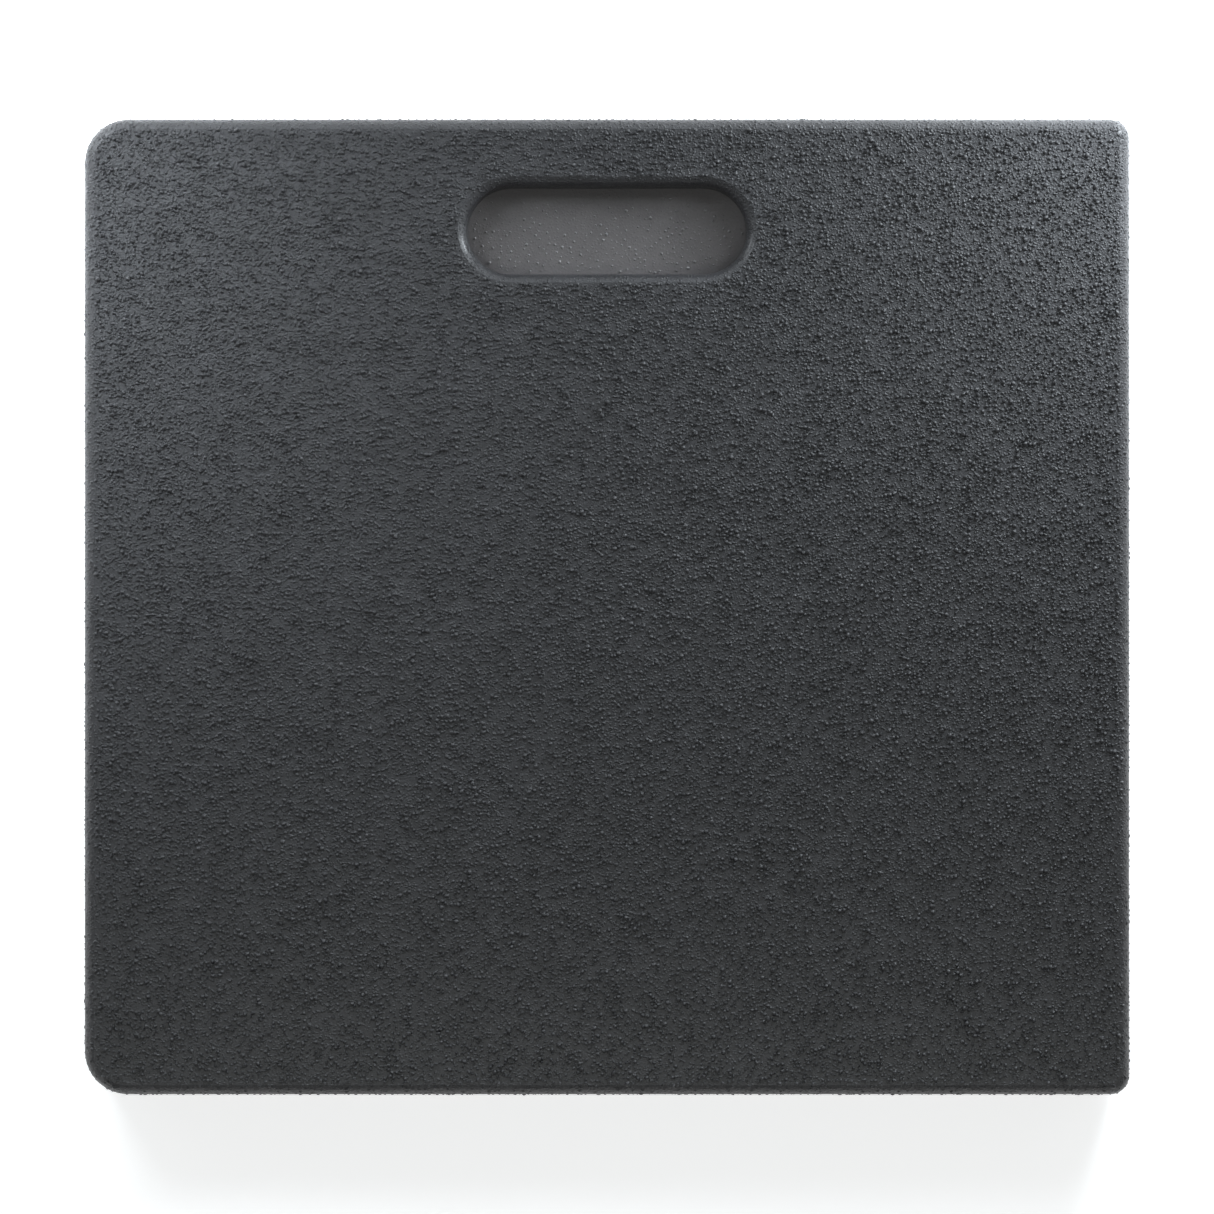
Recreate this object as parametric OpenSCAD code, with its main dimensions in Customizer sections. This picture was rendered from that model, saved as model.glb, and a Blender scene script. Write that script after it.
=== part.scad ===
// Granite tooling slab in a textured elastomer jacket, with a blind finger pocket for carrying.
// It lies on its stone working face, textured side up: X runs to the right, Y runs towards the
// edge with the finger pocket, Z is up. The origin is the middle of the working face.

/* [Slab] */
// Overall width, along X
slab_w = 381; // [300:1:480]
// Overall depth, along Y
slab_d = 355.6; // [280:0.1:460]
// Overall thickness, from the working face to the textured face
slab_t = 32; // [28:0.5:50]
// Radius of the two left corners
left_corner_r = 16; // [5.5:0.5:40]
// Radius of the two right corners
right_corner_r = 7; // [5.5:0.5:40]

/* [Jacket] */
// Thickness under the textured face
jacket_top = 3; // [2:0.25:5]
// Thickness round the four edges
jacket_wall = 4; // [2.5:0.25:5]
// Radius of the rounding along the top edge
edge_round = 6; // [3:0.25:8]
// Angle at which a rounding breaks into the flat face
crease_angle = 20; // [5:1:35]
// Radius of the rounding on the jacket's lower lip
lip_round = 1.5; // [0.5:0.25:2]

/* [Finger pocket] */
// Length of the pocket between the tips of its round ends
pocket_l = 102; // [80:1:140]
// Width of the pocket across its straight sides
pocket_w = 32; // [26:0.5:42]
// Distance of the pocket's middle line from the slab's edge
pocket_inset = 40.5; // [34:0.5:80]
// Depth of the pocket below the textured face
pocket_depth = 12; // [8:0.5:15]
// Radius of the rounding round the pocket's mouth
mouth_round = 5; // [2:0.25:6]
// Thickness of the jacket's wall round the pocket
pocket_wall = 3; // [2:0.25:5]
// Thickness of the liner on the pocket's floor
liner_t = 2; // [1:0.25:3]

/* [Stone] */
// Height of stone left bare below the jacket's lip
stone_bare = 5; // [1.5:0.5:8]
// Chamfer round the working face
stone_chamfer = 1; // [0.5:0.25:1.5]
// Gap between stone and jacket, filled with adhesive
bond_gap = 1; // [0.5:0.25:2]
// Height of the sealant bead that closes the gap at the lip
seal_h = 3; // [2:0.5:6]

/* [Hidden] */
$fn = 96;

// How far a cutter runs past the surface that it opens.
overcut = 1;
// An inner corner is never tighter than this, so that its chamfer or rounding fits.
least_r = stone_chamfer + 0.5;

// Heights above the working face.
lip_z = stone_bare;
bond_z = slab_t - jacket_top;
stone_z = bond_z - bond_gap;
liner_top_z = slab_t - pocket_depth;
liner_z = liner_top_z - liner_t;
stone_pocket_z = liner_z - bond_gap;

// How far each outline lies inside the slab's own.
bond_inset = jacket_wall;
stone_inset = jacket_wall + bond_gap;
// How far the stone's pocket lies outside the finger pocket.
stone_pocket_grow = pocket_wall + bond_gap;

// The top rounding turns within the tightest corner.
edge_r = min(edge_round, min(left_corner_r, right_corner_r) - 0.5);
pocket_y = slab_d / 2 - pocket_inset;
pocket_straight = pocket_l - pocket_w;

function inner_r(corner_r, inset) = max(corner_r - inset, least_r);

// The slab's outline moved in by inset.
module outline(inset) {
    w = slab_w - 2 * inset;
    d = slab_d - 2 * inset;
    left_r = inner_r(left_corner_r, inset);
    right_r = inner_r(right_corner_r, inset);
    translate([left_r - w / 2, -d / 2]) square([w - left_r - right_r, d]);
    translate([-w / 2, left_r - d / 2]) square([w / 2, d - 2 * left_r]);
    translate([0, right_r - d / 2]) square([w / 2, d - 2 * right_r]);
    for (s = [-1, 1]) {
        translate([left_r - w / 2, s * (d / 2 - left_r)]) circle(left_r);
        translate([w / 2 - right_r, s * (d / 2 - right_r)]) circle(right_r);
    }
}

// A plate with that outline and square edges, from height z0 to z1.
module plain_plate(inset, z0, z1) {
    translate([0, 0, z0]) linear_extrude(z1 - z0) outline(inset);
}

// A straight stretch of edge along Y, centred on the origin. Its child is a section across the
// edge, with x running inward and y up.
module straight_edge(length) {
    rotate([90, 0, 0]) linear_extrude(length, center = true) children();
}

// The same section turned round the upper right corner of radius r.
module corner_edge(r) {
    rotate_extrude(angle = 90) intersection() {
        translate([r, 0]) mirror([1, 0]) children();
        square([r, slab_t]);
    }
}

// A plate whose edge follows the child's section all round. The section reaches further inward than
// the larger corner radius. The plate is plain from z0 to z1 once shaped_w inside its outline.
module shaped_plate(inset, z0, z1, shaped_w) {
    w = slab_w - 2 * inset;
    d = slab_d - 2 * inset;
    left_r = inner_r(left_corner_r, inset);
    right_r = inner_r(right_corner_r, inset);
    run = w - left_r - right_r;
    for (s = [0, 1]) mirror([0, s, 0]) {
        translate([w / 2 - right_r, d / 2 - right_r, 0]) corner_edge(right_r) children();
        translate([left_r - w / 2, d / 2 - left_r, 0]) mirror([1, 0, 0]) corner_edge(left_r) children();
        translate([(left_r - right_r) / 2, -d / 2, 0]) rotate([0, 0, 90]) straight_edge(run) children();
    }
    translate([-w / 2, 0, 0]) straight_edge(d - 2 * left_r) children();
    translate([w / 2, 0, 0]) mirror([1, 0, 0]) straight_edge(d - 2 * right_r) children();
    plain_plate(inset + shaped_w, z0, z1);
}

// Section across the jacket's outer edge: rounded at the top, eased at the lip.
module jacket_section(reach) {
    turn_z = slab_t - edge_r * cos(crease_angle);
    intersection() {
        translate([0, lip_z]) square([reach, slab_t - lip_z]);
        union() {
            translate([edge_r, lip_z]) square([reach, slab_t - lip_z]);
            translate([lip_round, lip_z]) square([edge_r, turn_z - lip_z]);
            translate([0, lip_z + lip_round]) square([edge_r, turn_z - lip_z - lip_round]);
            translate([edge_r, turn_z]) circle(edge_r);
            translate([lip_round, lip_z + lip_round]) circle(lip_round);
        }
    }
}

// Section across the stone's edge: chamfered round the working face, square at the top.
module stone_section(reach) {
    polygon([
        [stone_chamfer, 0],
        [reach, 0],
        [reach, stone_z],
        [0, stone_z],
        [0, stone_chamfer]
    ]);
}

// A round-ended block over the finger pocket, larger than it by grow all round.
module pocket_block(grow, z0, z1) {
    translate([0, pocket_y, z0]) linear_extrude(z1 - z0) {
        square([pocket_straight, pocket_w + 2 * grow], center = true);
        for (s = [-1, 1]) translate([s * pocket_straight / 2, 0]) circle(d = pocket_w + 2 * grow);
    }
}

// Section of half the finger pocket: x runs out from its middle line, y is the height.
// The wall turns out to the face with a rounding that meets the face at the crease angle.
module pocket_section() {
    half = pocket_w / 2;
    turn_z = slab_t - mouth_round * cos(crease_angle);
    mouth = half + mouth_round * (1 - sin(crease_angle));
    difference() {
        translate([0, liner_top_z]) square([mouth, pocket_depth + overcut]);
        translate([half, liner_top_z - overcut]) square([mouth_round, turn_z - liner_top_z + overcut]);
        translate([half + mouth_round, turn_z]) circle(mouth_round);
    }
}

// The open space of the finger pocket, down to its liner.
module pocket_space() {
    translate([0, pocket_y, 0]) {
        for (s = [0, 1]) mirror([s, 0, 0]) translate([pocket_straight / 2, 0, 0])
            rotate([0, 0, -90]) rotate_extrude(angle = 180) pocket_section();
        for (s = [0, 1]) mirror([0, s, 0])
            rotate([0, 0, 90]) straight_edge(pocket_straight) pocket_section();
    }
}

module granite_plate() {
    reach = max(left_corner_r, right_corner_r) + overcut;
    color("#6b6d70") difference() {
        shaped_plate(stone_inset, 0, stone_z, least_r) stone_section(reach);
        pocket_block(stone_pocket_grow, stone_pocket_z, stone_z + overcut);
    }
}

module bond_layer() {
    color("#b9a77c") {
        difference() {
            plain_plate(bond_inset, lip_z + seal_h, bond_z);
            plain_plate(stone_inset, 0, stone_z);
            pocket_block(stone_pocket_grow, 0, slab_t);
        }
        difference() {
            pocket_block(stone_pocket_grow, stone_pocket_z, bond_z);
            pocket_block(pocket_wall, liner_z, slab_t);
        }
    }
}

module edge_seal() {
    color("#26282a") difference() {
        plain_plate(bond_inset, lip_z, lip_z + seal_h);
        plain_plate(stone_inset, 0, slab_t);
    }
}

module textured_jacket() {
    reach = max(left_corner_r, right_corner_r) + overcut;
    color("#3c3e41") difference() {
        union() {
            difference() {
                shaped_plate(0, lip_z, slab_t, edge_r) jacket_section(reach);
                plain_plate(bond_inset, 0, bond_z);
            }
            pocket_block(pocket_wall, liner_z, slab_t - jacket_top / 2);
        }
        pocket_space();
        pocket_block(0, liner_z - overcut, liner_top_z);
    }
}

module pocket_liner() {
    color("#5f5c5b") pocket_block(0, liner_z, liner_top_z);
}

granite_plate();
bond_layer();
edge_seal();
textured_jacket();
pocket_liner();
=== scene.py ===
"""Looks, light and camera for the granite tooling slab in its textured jacket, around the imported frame."""

import math

import bpy
import numpy as np
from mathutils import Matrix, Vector, geometry, noise


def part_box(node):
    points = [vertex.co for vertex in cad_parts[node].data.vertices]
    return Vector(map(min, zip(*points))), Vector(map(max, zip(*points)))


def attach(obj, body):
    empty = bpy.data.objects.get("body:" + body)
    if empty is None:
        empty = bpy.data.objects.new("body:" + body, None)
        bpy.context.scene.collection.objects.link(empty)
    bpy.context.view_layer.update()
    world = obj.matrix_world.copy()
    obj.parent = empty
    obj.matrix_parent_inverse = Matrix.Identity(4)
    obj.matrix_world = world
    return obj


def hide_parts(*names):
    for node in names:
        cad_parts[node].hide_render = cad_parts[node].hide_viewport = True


MM = 0.001

# The jacket's roundings and its pocket wall's thickness, as the CAD part has them.
LEFT_CORNER_R = 16 * MM
RIGHT_CORNER_R = 7 * MM
EDGE_R = 6 * MM
MOUTH_R = 5 * MM
LIP_R = 1.5 * MM
CREASE = math.radians(20)
POCKET_WALL = 3 * MM

# How finely the jacket is meshed.
EDGE_STEP = 1.8 * MM
MOUTH_STEP = 0.9 * MM
FACE_STEP = 3.2 * MM
CAVITY_STEP = 25 * MM
ARC_ROWS = 7
LIP_ROWS = 5
CORNER_STEPS = 12
SHARP = math.radians(15)
# A sheet's grid keeps this much clear of its two outlines, so that no sliver forms beside them.
SHRUNK_OUTLINE = 0.992
GROWN_HOLE = 1.04

# The sprayed coat's slight rise and fall.
RIPPLE = 0.035 * MM
RIPPLE_LENGTH = 9 * MM

# The droplets that the sprayed texture is made of.
FACE_SPACING = 1.95 * MM
EDGE_SPACING = 2.4 * MM
LINER_SPACING = 2.8 * MM
DROP_R = 0.64 * MM
DROP_SPREAD = 0.24
DROP_LIMITS = (0.3 * MM, 1.1 * MM)
DROP_RISE = 1.15
DROP_SUNK = 0.04 * MM
DROP_OVAL = (0.88, 1.12)
RISE_RANGE = (0.7, 1.25)
# How big the droplets on the edge and the liner are, against the face's.
EDGE_SCALE = 0.95
LINER_SCALE = 0.7
# The least distance between two droplets, as a share of their spacing.
DROP_GAP = 0.6
# How far droplets stay from the creases, on the face and on the edge, and from the pocket's wall.
CREASE_MARGIN = 0.4 * MM
EDGE_MARGIN = 0.3 * MM
LINER_MARGIN = 1.2 * MM
# What share of its rise a droplet keeps at the edge's crease, 60 degrees over, and on the wall.
EDGE_RISES = (0.7, 0.3, 0.4)
# The liner's droplets thin out from this share of the way to its upper edge, at this rate.
LEE_START = 0.55
LEE_RATE = 2.4

# The stage: the floor and its curved rise, and how far the camera is and how much it sees.
FLOOR_R = 7.0
COVE_R = 3.0
COVE_ROWS = 25
FLOOR_SIDES = 64
FLOOR_GAP = 0.1 * MM
CAMERA_HEIGHT = 1.5
CAMERA_VIEW = 443.1 * MM

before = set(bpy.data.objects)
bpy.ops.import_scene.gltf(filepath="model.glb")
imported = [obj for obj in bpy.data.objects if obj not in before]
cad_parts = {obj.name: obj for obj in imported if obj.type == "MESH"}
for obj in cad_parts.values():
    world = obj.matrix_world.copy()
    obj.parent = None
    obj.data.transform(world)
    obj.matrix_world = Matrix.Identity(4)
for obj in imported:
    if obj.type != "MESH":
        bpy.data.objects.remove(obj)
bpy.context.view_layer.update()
jacket_low, jacket_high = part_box("textured_jacket")
liner_low, liner_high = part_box("pocket_liner")
bond_low, bond_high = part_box("bond_layer")

TOP = jacket_high.z
LIP = jacket_low.z
CAVITY_TOP = bond_high.z
CAVITY_INSET = bond_low.x - jacket_low.x
POCKET_R = (liner_high.y - liner_low.y) / 2
POCKET_X = (liner_high.x - liner_low.x) / 2 - POCKET_R
POCKET_Y = (liner_high.y + liner_low.y) / 2


# ---------------------------------------------------------------- outlines


def stretch(start, end, step):
    """Evenly spaced points from start up to, not including, end."""
    count = max(2, round((end - start).length / step))
    return [start.lerp(end, i / count) for i in range(count)]


def loop_of(corners, step):
    """A closed outline round the corners, each (x, y, radius, first angle in quarter turns, quarter turns):
    points and outward normals."""
    points, normals = [], []
    for i, (x, y, r, first, quarters) in enumerate(corners):
        count = max(round(r * quarters * math.pi / 2 / step), CORNER_STEPS * quarters)
        for k in range(count + 1):
            angle = (first + quarters * k / count) * math.pi / 2
            out = Vector((math.cos(angle), math.sin(angle)))
            points.append(Vector((x, y)) + r * out)
            normals.append(out)
        nx, ny, nr, nfirst, _ = corners[(i + 1) % len(corners)]
        turned = nfirst * math.pi / 2
        goal = Vector((nx, ny)) + nr * Vector((math.cos(turned), math.sin(turned)))
        for p in stretch(points[-1], goal, step)[1:]:
            points.append(p)
            normals.append(normals[-1])
    return np.array(points), np.array(normals)


def slab_outline(step):
    """The jacket's outline seen from above: points and outward normals."""
    left = jacket_low.x + LEFT_CORNER_R
    right = jacket_high.x - RIGHT_CORNER_R
    return loop_of(
        [
            (right, jacket_high.y - RIGHT_CORNER_R, RIGHT_CORNER_R, 0, 1),
            (left, jacket_high.y - LEFT_CORNER_R, LEFT_CORNER_R, 1, 1),
            (left, jacket_low.y + LEFT_CORNER_R, LEFT_CORNER_R, 2, 1),
            (right, jacket_low.y + RIGHT_CORNER_R, RIGHT_CORNER_R, 3, 1),
        ],
        step,
    )


def pocket_outline(step):
    """The finger pocket's outline at its wall: points and outward normals."""
    ends = [(POCKET_X, POCKET_Y, POCKET_R, -1, 2), (-POCKET_X, POCKET_Y, POCKET_R, 1, 2)]
    return loop_of(ends, step)


def rounding(radius, top):
    """(distance from the wall, height) down a rounding, from its crease on the face to the wall."""
    turn = top - radius * math.cos(CREASE)
    angles = np.linspace(CREASE, math.pi / 2, ARC_ROWS)
    return [(radius * (1 - math.sin(a)), turn + radius * math.cos(a)) for a in angles]


def wall(high, low, step):
    """Heights between a wall's two ends, evenly spaced and without the ends."""
    count = max(2, round((high - low) / step))
    return [high + (low - high) * i / count for i in range(1, count)]


def edge_section():
    """(inset, height) rows of the jacket's outside, from the crease on its face to its cavity's ceiling."""
    rows = rounding(EDGE_R, TOP)
    rows += [(0, z) for z in wall(rows[-1][1], LIP + LIP_R, EDGE_STEP)]
    for angle in np.linspace(0, math.pi / 2, LIP_ROWS):
        rows.append((LIP_R * (1 - math.cos(angle)), LIP + LIP_R * (1 - math.sin(angle))))
    rows += [(CAVITY_INSET, LIP), (CAVITY_INSET, CAVITY_TOP)]
    return rows


def pocket_section():
    """(outset, height) rows of the finger pocket, from the crease on the face to the cavity's ceiling."""
    rows = rounding(MOUTH_R, TOP)
    rows += [(0, z) for z in wall(rows[-1][1], liner_low.z, MOUTH_STEP)]
    rows += [(0, liner_low.z), (POCKET_WALL, liner_low.z), (POCKET_WALL, CAVITY_TOP)]
    return rows


# ---------------------------------------------------------------- meshes


def new_piece(name, verts, faces, material):
    """A smooth-shaded mesh that rides on the one body and takes its finish from a material slot."""
    mesh = bpy.data.meshes.new(name)
    mesh.from_pydata([tuple(v) for v in verts], [], faces)
    mesh.validate()
    mesh.shade_smooth()
    piece = bpy.data.objects.new(name, mesh)
    bpy.context.scene.collection.objects.link(piece)
    mesh.materials.append(material)
    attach(piece, "root")
    return piece


def rings(points, normals, rows, side):
    """Rows of points around an outline, moved along its normals by side times each row's distance."""
    return [
        np.column_stack([points + side * away * normals, np.full(len(points), z)]) for away, z in rows
    ]


def skin(ring_rows, first, flip):
    """Quads between neighbouring rings, whose points are numbered from first."""
    count = len(ring_rows[0])
    faces = []
    for r in range(len(ring_rows) - 1):
        a = first + r * count
        for i in range(count):
            j = (i + 1) % count
            quad = (a + i, a + j, a + count + j, a + count + i)
            faces.append(quad[::-1] if flip else quad)
    return faces


def inside(points, outline):
    """Which of the points lie inside a closed outline."""
    x, y = points[:, 0:1], points[:, 1:2]
    ax, ay = outline.T
    bx, by = np.roll(outline, -1, 0).T
    crosses = (ay > y) != (by > y)
    at = ax + (y - ay) * (bx - ax) / np.where(by == ay, 1, by - ay)
    return (crosses & (x < at)).sum(1) % 2 == 1


def sheet_between(outer, inner, step):
    """Triangles between two outlines, with points a step apart between them: (new points, faces).
    The outlines' own points come first in the numbering, outer and then inner."""
    low, high = outer.min(0), outer.max(0)
    columns = np.arange(low[0] + step, high[0], step)
    lines = np.arange(low[1] + step, high[1], step * math.sqrt(3) / 2)
    grid = np.array([(x + (k % 2) * step / 2, y) for k, y in enumerate(lines) for x in columns])
    centre = outer.mean(0)
    hole = inner.mean(0)
    kept = inside(grid, centre + (outer - centre) * SHRUNK_OUTLINE)
    kept &= ~inside(grid, hole + (inner - hole) * GROWN_HOLE)
    grid = grid[kept]
    count, holes = len(outer), len(inner)
    points = [Vector(p) for p in np.concatenate([outer, inner, grid])]
    edges = [(i, (i + 1) % count) for i in range(count)]
    edges += [(count + i, count + (i + 1) % holes) for i in range(holes)]
    verts, _, faces, _, _, _ = geometry.delaunay_2d_cdt(points, edges, [], 0, 1e-9)
    at = np.array([v[:] for v in verts])
    middles = np.array([at[list(f)].mean(0) for f in faces])
    wanted = inside(middles, outer) & ~inside(middles, inner)
    return grid, [tuple(f) for f, w in zip(faces, wanted) if w]


def upward(face, verts):
    """Whether a face looks up."""
    a, b, c = (verts[i] for i in face[:3])
    return np.cross(b - a, c - a)[2] > 0


def ripple(verts):
    """Each point's small rise and fall, as a sprayed coat has."""
    return np.array([noise.noise(Vector(v) / RIPPLE_LENGTH) for v in verts]) * RIPPLE


def make_jacket(material):
    """The whole jacket as one closed mesh: face, rounded edge, walls, lip, cavity and pocket wall."""
    outer, outer_out = slab_outline(EDGE_STEP)
    inner, inner_out = pocket_outline(MOUTH_STEP)
    outer_rings = rings(outer, outer_out, edge_section(), -1)
    inner_rings = rings(inner, inner_out, pocket_section(), 1)
    verts = np.concatenate(outer_rings + inner_rings)
    n_outer, n_inner = len(outer), len(inner)
    inner_first = n_outer * len(outer_rings)
    faces = skin(outer_rings, 0, True) + skin(inner_rings, inner_first, False)

    def close(outer_row, inner_row, step, up):
        """Fills between a ring of each, a step apart."""
        nonlocal verts
        ring_a, ring_b = outer_rings[outer_row], inner_rings[inner_row]
        grid, sheet = sheet_between(ring_a[:, :2], ring_b[:, :2], step)
        first_a = outer_row % len(outer_rings) * n_outer
        first_b = inner_first + inner_row % len(inner_rings) * n_inner
        number = np.concatenate(
            [
                first_a + np.arange(n_outer),
                first_b + np.arange(n_inner),
                len(verts) + np.arange(len(grid)),
            ]
        )
        verts = np.concatenate([verts, np.column_stack([grid, np.full(len(grid), ring_a[0, 2])])])
        for face in sheet:
            face = tuple(int(number[i]) for i in face)
            faces.append(face if upward(face, verts) == up else face[::-1])

    close(0, 0, FACE_STEP, True)
    close(-1, -1, CAVITY_STEP, False)
    verts[:, 2] += np.where(verts[:, 2] > TOP - EDGE_R, ripple(verts), 0)
    piece = new_piece("jacket", verts, faces, material)
    piece.data.set_sharp_from_angle(angle=SHARP)
    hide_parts("textured_jacket")


# ---------------------------------------------------------------- droplets


def dome(sides, levels):
    """A unit droplet: points (across, across, up) and triangles.
    levels are the (radius, height) of its rings, outwards from its tip."""
    points = [(0, 0, 1)]
    for ring, (radius, height) in enumerate(levels):
        for k in range(sides):
            angle = 2 * math.pi * (k + ring / 2) / sides
            points.append((radius * math.cos(angle), radius * math.sin(angle), height))
    faces = [(0, 1 + k, 1 + (k + 1) % sides) for k in range(sides)]
    for ring in range(len(levels) - 1):
        a, b = 1 + ring * sides, 1 + (ring + 1) * sides
        for k in range(sides):
            j = (k + 1) % sides
            faces += [(a + k, b + k, a + j), (a + j, b + k, b + j)]
    return np.array(points), np.array(faces)


DOME = dome(5, [(0.6, 0.62), (1, 0)])


def droplets(name, places, normals, radii, rises, rng, material, slot):
    """One mesh of droplets standing on a surface: a place, a normal, a radius and a height for each."""
    turned = rng.random(len(places)) * 2 * math.pi
    helper = np.where(np.abs(normals[:, 2:3]) > 0.7, [[1.0, 0, 0]], [[0, 0, 1.0]])
    along = np.cross(normals, helper)
    along /= np.linalg.norm(along, axis=1, keepdims=True)
    across = np.cross(normals, along)
    u = along * np.cos(turned)[:, None] + across * np.sin(turned)[:, None]
    v = np.cross(normals, u)
    oval = rng.uniform(*DROP_OVAL, len(places))
    points, faces = DOME
    x = u[:, None, :] * (points[None, :, 0:1] * (radii * oval)[:, None, None])
    y = v[:, None, :] * (points[None, :, 1:2] * (radii / oval)[:, None, None])
    up = points[None, :, 2:3] * (rises + DROP_SUNK)[:, None, None] - DROP_SUNK
    verts = (places[:, None, :] + x + y + normals[:, None, :] * up).reshape(-1, 3)
    numbers = faces[None] + (np.arange(len(places)) * len(points))[:, None, None]
    new_piece(name, verts, numbers.reshape(-1, 3).tolist(), material)


def drop_sizes(count, rng, scale=1.0):
    """Radii and rises of count droplets, scale times their usual size."""
    radii = DROP_R * scale * np.exp(rng.normal(0, DROP_SPREAD, count))
    radii = np.clip(radii, *DROP_LIMITS)
    rises = radii * DROP_RISE * rng.uniform(*RISE_RANGE, count)
    return radii, rises


def apart(points, gap):
    """Which points to keep so that none kept lies within gap of one kept before it."""
    taken, kept = {}, np.zeros(len(points), bool)
    cells = np.floor(points / gap).astype(int)
    for i, (cell, p) in enumerate(zip(map(tuple, cells), points)):
        near = (
            q
            for dx in (-1, 0, 1)
            for dy in (-1, 0, 1)
            for q in taken.get((cell[0] + dx, cell[1] + dy), ())
        )
        if all((p[0] - q[0]) ** 2 + (p[1] - q[1]) ** 2 > gap * gap for q in near):
            taken.setdefault(cell, []).append(p)
            kept[i] = True
    return kept


def scattered(low, high, spacing, rng):
    """Random points in a box, about one to each square of the spacing and none too close together."""
    span = np.array(high) - low
    count = int(span.prod() / spacing**2)
    points = np.array(low) + rng.random((count * 2, 2)) * span
    return points[apart(points, spacing * DROP_GAP)][:count]


def level_places(points, height):
    """Points laid on a level surface at that height: places and normals."""
    places = np.column_stack([points, np.full(len(points), height)])
    return places, np.tile([0.0, 0, 1], (len(points), 1))


def face_droplets(material):
    """The face's droplets, in three pieces by size."""
    rng = np.random.default_rng(11)
    outer, outer_out = slab_outline(EDGE_STEP)
    inner, inner_out = pocket_outline(MOUTH_STEP)
    rim = EDGE_R * (1 - math.sin(CREASE)) + CREASE_MARGIN
    mouth = MOUTH_R * (1 - math.sin(CREASE)) + CREASE_MARGIN
    points = scattered(jacket_low[:2], jacket_high[:2], FACE_SPACING, rng)
    points = points[inside(points, outer - rim * outer_out) & ~inside(points, inner + mouth * inner_out)]
    radii, rises = drop_sizes(len(points), rng)
    places, normals = level_places(points, TOP)
    sizes = np.digitize(radii, np.quantile(radii, [1 / 3, 2 / 3]))
    for size, name in enumerate(("fine", "medium", "coarse")):
        kept = (part[sizes == size] for part in (places, normals, radii, rises))
        droplets(f"{name}_face_droplets", *kept, rng, material, "jacket")


def edge_droplets(material):
    """Droplets on the rounded edge and the walls, sparser and flatter than the face's."""
    rng = np.random.default_rng(12)
    outer, outer_out = slab_outline(EDGE_STEP)
    # The lip's underside and the cavity, the last three rows, get none.
    rows = edge_section()[:-3]
    run = np.concatenate([[0], np.cumsum([math.dist(a, b) for a, b in zip(rows, rows[1:])])])
    steps = np.linalg.norm(np.roll(outer, -1, 0) - outer, axis=1)
    along = np.concatenate([[0], np.cumsum(steps)])
    points = scattered((0, EDGE_MARGIN), (along[-1], run[-1]), EDGE_SPACING, rng)
    at = np.searchsorted(along, points[:, 0], side="right") - 1
    part = ((points[:, 0] - along[at]) / steps[at])[:, None]
    here = outer[at] * (1 - part) + np.roll(outer, -1, 0)[at] * part
    out = outer_out[at] * (1 - part) + np.roll(outer_out, -1, 0)[at] * part
    out /= np.linalg.norm(out, axis=1, keepdims=True)
    inset = np.interp(points[:, 1], run, [r[0] for r in rows])
    height = np.interp(points[:, 1], run, [r[1] for r in rows])
    lean = np.arccos(np.clip((height - (TOP - EDGE_R * math.cos(CREASE))) / EDGE_R, 0, 1))
    places = np.column_stack([here - inset[:, None] * out, height])
    normals = np.column_stack([out * np.sin(lean)[:, None], np.cos(lean)])
    radii, rises = drop_sizes(len(points), rng, EDGE_SCALE)
    rises *= np.interp(lean, [CREASE, math.pi / 3, math.pi / 2], EDGE_RISES)
    droplets("edge_droplets", places, normals, radii, rises, rng, material, "jacket")


def liner_droplets(material):
    """The droplets that reached the pocket's floor, fewer towards the lee of its upper wall."""
    rng = np.random.default_rng(13)
    inner, inner_out = pocket_outline(MOUTH_STEP)
    points = scattered(liner_low[:2], liner_high[:2], LINER_SPACING, rng)
    points = points[inside(points, inner - LINER_MARGIN * inner_out)]
    reach = (points[:, 1] - liner_low.y) / (liner_high.y - liner_low.y)
    points = points[rng.random(len(points)) > np.clip((reach - LEE_START) * LEE_RATE, 0, 1)]
    radii, rises = drop_sizes(len(points), rng, LINER_SCALE)
    places, normals = level_places(points, liner_high.z)
    droplets("liner_droplets", places, normals, radii, rises, rng, material, "liner")


# ---------------------------------------------------------------- materials


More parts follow.
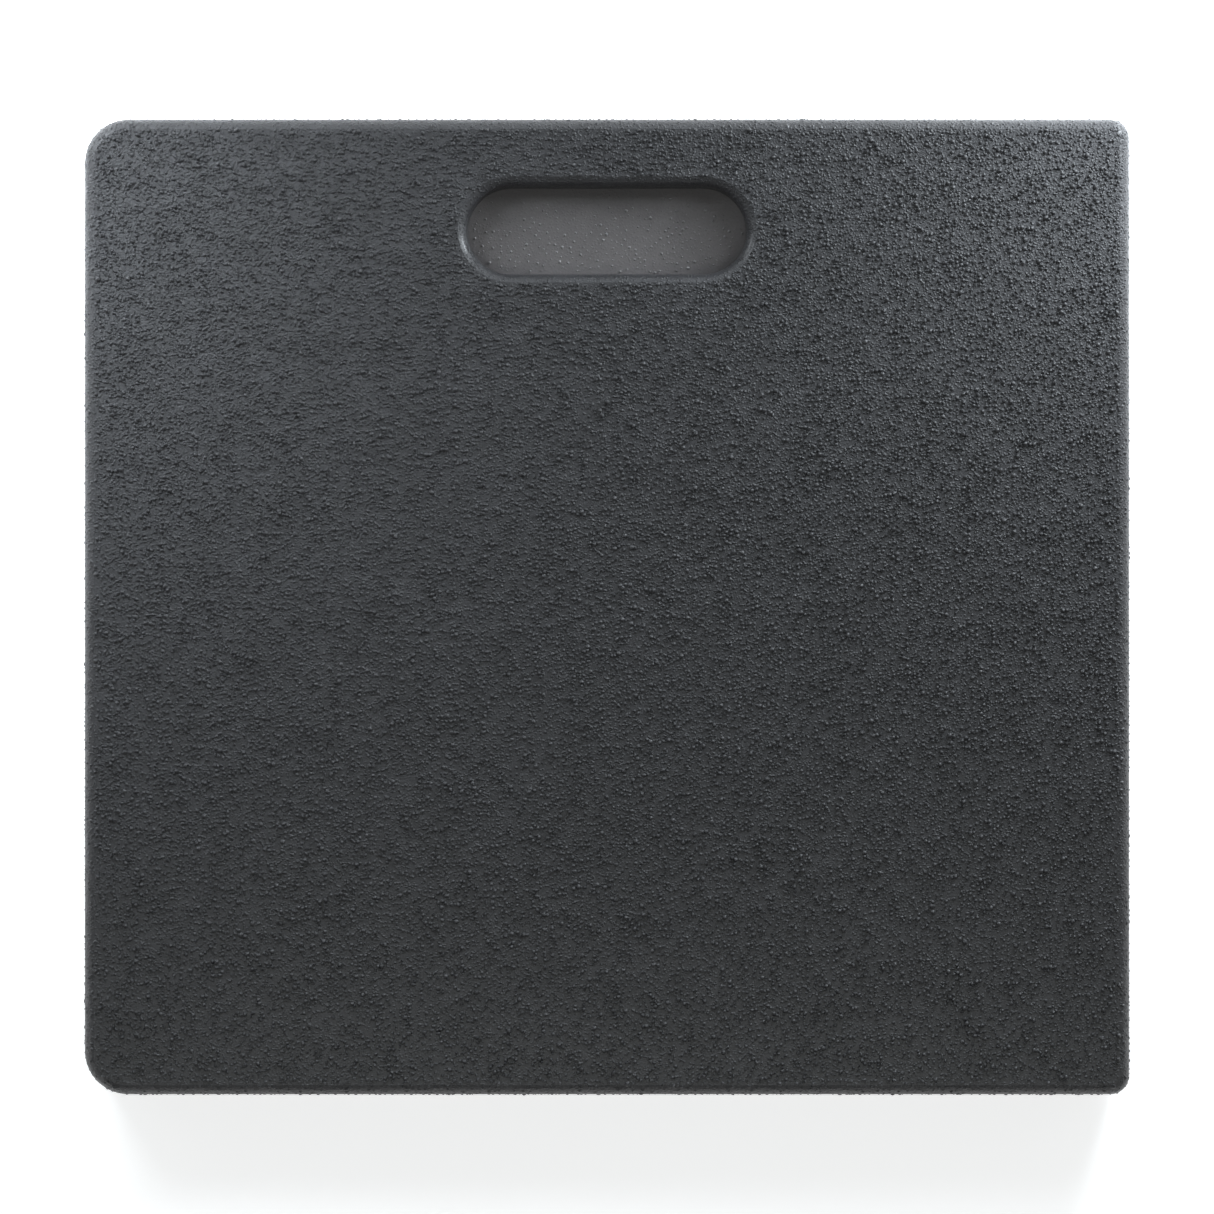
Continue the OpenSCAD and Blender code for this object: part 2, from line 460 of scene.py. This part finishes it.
class Nodes:
    """A material's node tree, with short calls for the nodes used here."""

    def __init__(self, name):
        self.material = bpy.data.materials.new(name)
        self.material.use_nodes = True
        self.tree = self.material.node_tree
        self.shader = self.tree.nodes["Principled BSDF"]
        self.place = self.tree.nodes.new("ShaderNodeTexCoord").outputs["Object"]

    def feed(self, socket, value):
        """Links a node's output to an input, or sets the input to a constant."""
        if isinstance(value, bpy.types.NodeSocket):
            self.tree.links.new(value, socket)
        else:
            socket.default_value = value

    def add(self, kind, inputs=None, **settings):
        """A new node of that kind, with its settings made and its inputs fed."""
        node = self.tree.nodes.new(kind)
        for key, value in settings.items():
            setattr(node, key, value)
        for key, value in (inputs or {}).items():
            self.feed(node.inputs[key], value)
        return node

    def noise(self, size, detail=2.0, rough=0.5):
        """Noise whose features are about size metres wide."""
        inputs = {"Vector": self.place, "Scale": 1 / size, "Detail": detail, "Roughness": rough}
        return self.add("ShaderNodeTexNoise", inputs).outputs["Fac"]

    def cells(self, size, output="Distance"):
        """Cells about size metres wide: the distance to each one's middle, or a Color for each."""
        inputs = {"Vector": self.place, "Scale": 1 / size}
        return self.add("ShaderNodeTexVoronoi", inputs).outputs[output]

    def span(self, value, low, high, to_low=0.0, to_high=1.0, smooth=True):
        """value from low..high carried to to_low..to_high, and held there outside."""
        inputs = {"Value": value, "From Min": low, "From Max": high, "To Min": to_low, "To Max": to_high}
        kind = "SMOOTHSTEP" if smooth else "LINEAR"
        return self.add("ShaderNodeMapRange", inputs, interpolation_type=kind).outputs["Result"]

    def math(self, operation, a, b):
        """A sum, a product or the like of two values."""
        return self.add("ShaderNodeMath", {0: a, 1: b}, operation=operation).outputs[0]

    def mix(self, factor, a, b):
        """Colour a where factor is 0, b where it is 1."""
        return self.add("ShaderNodeMix", {0: factor, 6: a, 7: b}, data_type="RGBA").outputs[2]

    def bump(self, height, distance, under=None):
        """A normal raised by height times distance metres, on top of the bump under it."""
        inputs = {"Height": height, "Distance": distance, "Strength": 1.0}
        if under is not None:
            inputs["Normal"] = under
        return self.add("ShaderNodeBump", inputs).outputs["Normal"]

    def finish(self, **sockets):
        """Sets the shader's sockets, named in lower case, and gives the material."""
        for key, value in sockets.items():
            self.feed(self.shader.inputs[key.replace("_", " ").title()], value)
        return self.material


def grey(level, red=1.0, blue=1.0):
    """A grey of that linear level, with its red and blue tinted."""
    return (level * red, level, level * blue, 1)


def coat_material(name, dark, pale, roughness, grain, skin_gloss):
    """Sprayed elastomer, mottled between two greys. grain is how high its fine grain and pebbles are,
    in metres, and skin_gloss the weight of a thin gloss skin."""
    n = Nodes(name)
    mottle = n.span(n.noise(14 * MM, 3, 0.6), 0.35, 0.65)
    speck = n.span(n.noise(0.9 * MM, 2, 0.6), 0.3, 0.7)
    colour = n.mix(n.math("MULTIPLY", n.math("ADD", mottle, speck), 0.5), dark, pale)
    gloss = n.span(n.noise(3.5 * MM, 3, 0.6), 0.3, 0.7, roughness - 0.05, roughness + 0.05)
    orange_peel = n.bump(n.noise(4 * MM, 2), 0.05 * MM)
    fine = n.bump(n.noise(0.8 * MM, 3, 0.65), grain, under=orange_peel)
    pebbles = n.bump(n.span(n.cells(1.1 * MM), 0.1, 0.5, 1.0, 0.0), 0.9 * grain, under=fine)
    return n.finish(
        base_color=colour, roughness=gloss, normal=pebbles, coat_weight=skin_gloss, coat_roughness=0.25
    )


def granite_material():
    """Honed granite: dark grey ground, pale feldspar, black mica and a few bright quartz grains."""
    n = Nodes("honed_granite")
    tone = n.cells(2.6 * MM, output="Color")
    hue = n.add("ShaderNodeSeparateColor", {"Color": tone}).outputs
    ground = n.mix(hue[0], grey(0.07, blue=1.04), grey(0.17, red=1.02))
    felspar = n.span(hue[1], 0.70, 0.78)
    ground = n.mix(felspar, ground, grey(0.34, red=1.03, blue=0.97))
    flake = n.cells(1.1 * MM, output="Color")
    flakes = n.add("ShaderNodeSeparateColor", {"Color": flake}).outputs
    ground = n.mix(n.span(flakes[0], 0.74, 0.80), ground, grey(0.018))
    ground = n.mix(n.span(flakes[1], 0.93, 0.96), ground, grey(0.55))
    cloud = n.span(n.noise(35 * MM, 3, 0.6), 0.3, 0.7)
    colour = n.mix(n.math("MULTIPLY", cloud, 0.25), ground, grey(0.10))
    gloss = n.span(flakes[2], 0.0, 1.0, 0.26, 0.40, smooth=False)
    pits = n.bump(n.span(n.noise(0.7 * MM, 2), 0.25, 0.4), 0.02 * MM)
    return n.finish(base_color=colour, roughness=gloss, normal=pits)


def sealant_material():
    """Black sealant, tooled smooth with a slight wave."""
    n = Nodes("edge_sealant")
    wave = n.noise(6 * MM, 2)
    colour = n.mix(n.span(wave, 0.3, 0.7), grey(0.012), grey(0.02))
    gloss = n.span(n.noise(2 * MM), 0.3, 0.7, 0.3, 0.42)
    return n.finish(base_color=colour, roughness=gloss, normal=n.bump(wave, 0.2 * MM))


def adhesive_material():
    """Cloudy amber adhesive, hidden unless the part is taken apart."""
    n = Nodes("cured_adhesive")
    cloud = n.noise(12 * MM, 3)
    colour = n.mix(n.span(cloud, 0.3, 0.7), (0.42, 0.33, 0.17, 1), (0.52, 0.43, 0.24, 1))
    gloss = n.span(n.noise(3 * MM), 0.3, 0.7, 0.35, 0.55)
    return n.finish(base_color=colour, roughness=gloss, normal=n.bump(n.noise(2 * MM), 0.1 * MM))


def floor_material():
    """Near-white matt floor that glows a little."""
    n = Nodes("pale_floor")
    colour = n.mix(n.span(n.noise(0.4, 2), 0.3, 0.7), grey(0.86), grey(0.89))
    return n.finish(base_color=colour, roughness=0.75, emission_color=grey(1.0), emission_strength=0.6)


def dress(node, material):
    """Gives a CAD node its material."""
    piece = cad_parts[node]
    for slot in piece.material_slots:
        slot.material = material


# ---------------------------------------------------------------- scene


def add_camera():
    """Straight above the slab, its upper edge away from the viewer, as the object is pictured."""
    data = bpy.data.cameras.new("camera")
    data.sensor_width = 36
    data.lens = data.sensor_width * CAMERA_HEIGHT / CAMERA_VIEW
    camera = bpy.data.objects.new("camera", data)
    camera.location = (0, 0, TOP - EDGE_R + CAMERA_HEIGHT)
    bpy.context.scene.collection.objects.link(camera)
    bpy.context.scene.camera = camera


def softbox(name, place, size, watts, colour, aim=None, spread=180):
    """A rectangular light that the camera doesn't see, facing the slab, or the point aim on the floor.
    spread is the angle, in degrees, that its grid lets light fan out by."""
    data = bpy.data.lights.new(name, "AREA")
    data.shape = "RECTANGLE"
    data.size, data.size_y = size
    data.energy = watts
    data.color = colour
    data.spread = math.radians(spread)
    light = bpy.data.objects.new(name, data)
    light.location = place
    target = Vector((*(aim or (0.3 * place[0], 0.3 * place[1])), 0))
    light.rotation_euler = (target - Vector(place)).to_track_quat("-Z", "Y").to_euler()
    light.visible_camera = False
    bpy.context.scene.collection.objects.link(light)


def add_floor():
    """A round pale floor that curves up into a wall, evenly lit from within as a light table is."""
    turns = np.linspace(0, math.pi / 2, COVE_ROWS)
    profile = [(FLOOR_R + COVE_R * math.sin(a), COVE_R * (1 - math.cos(a)) - FLOOR_GAP) for a in turns]
    count = FLOOR_SIDES
    angles = [2 * math.pi * i / count for i in range(count)]
    verts = [(r * math.cos(a), r * math.sin(a), z) for r, z in profile for a in angles]
    faces = [tuple(range(count))]
    for row in range(len(profile) - 1):
        for i in range(count):
            j = (i + 1) % count
            faces.append((row * count + i, row * count + j, (row + 1) * count + j, (row + 1) * count + i))
    mesh = bpy.data.meshes.new("floor")
    mesh.from_pydata(verts, [], faces)
    mesh.materials.append(floor_material())
    floor = bpy.data.objects.new("floor", mesh)
    bpy.context.scene.collection.objects.link(floor)


def add_studio():
    """Softboxes beyond the upper corners, the sides and the upper edge, one in front, one overhead,
    and a dim world."""
    scene = bpy.context.scene
    scene.view_settings.view_transform = "Standard"
    world = bpy.data.worlds.new("studio")
    world.use_nodes = True
    background = world.node_tree.nodes["Background"]
    background.inputs["Color"].default_value = (0.95, 0.98, 1.0, 1)
    background.inputs["Strength"].default_value = 0.06
    scene.world = world
    cool, neutral = (0.87, 0.94, 1.0), (0.97, 1.0, 0.98)
    softbox("upper_left_softbox", (-0.38, 0.34, 0.32), (0.22, 0.22), 0.58, cool, (-0.25, 0.13), 70)
    softbox("upper_right_softbox", (0.36, 0.32, 0.36), (0.14, 0.14), 0.8, cool)
    softbox("low_left_softbox", (-0.32, 0.3, 0.14), (0.12, 0.12), 0.5, cool)
    softbox("low_right_softbox", (0.31, 0.29, 0.14), (0.12, 0.12), 2.0, cool)
    softbox("left_softbox", (-0.6, 0.2, 0.3), (0.3, 0.3), 0.2, cool)
    softbox("right_softbox", (0.6, 0.2, 0.3), (0.3, 0.3), 0.15, cool)
    softbox("upper_softbox", (0, 0.65, 0.3), (0.8, 0.3), 1.15, cool)
    softbox("front_softbox", (0, -0.55, 1.5), (1.2, 0.5), 4.6, neutral)
    softbox("ceiling_softbox", (0, 0, 2.2), (2.4, 2.4), 1.6, neutral)


coat = coat_material(
    "jacket_coat",
    dark=grey(0.018, blue=1.08),
    pale=grey(0.026, blue=1.10),
    roughness=0.46,
    grain=0.35 * MM,
    skin_gloss=0.28,
)
smooth_coat = coat_material(
    "liner_coat",
    dark=grey(0.075, red=1.08),
    pale=grey(0.097, red=1.08),
    roughness=0.45,
    grain=0.08 * MM,
    skin_gloss=0.3,
)
# The pocket floor's stray droplets. Their glossy skin is real, but their grey is much paler than the dark
# jacket coat they were sprayed from. That pale grey is a painted highlight standing for their glints.
stray_coat_with_painted_glint = coat_material(
    "stray_droplet_coat_with_painted_glint",
    dark=grey(0.10, red=1.05),
    pale=grey(0.14, red=1.05),
    roughness=0.3,
    grain=0.03 * MM,
    skin_gloss=1.0,
)
add_camera()
add_floor()
add_studio()
make_jacket(coat)
face_droplets(coat)
edge_droplets(coat)
liner_droplets(stray_coat_with_painted_glint)
dress("pocket_liner", smooth_coat)
dress("granite_plate", granite_material())
dress("edge_seal", sealant_material())
dress("bond_layer", adhesive_material())
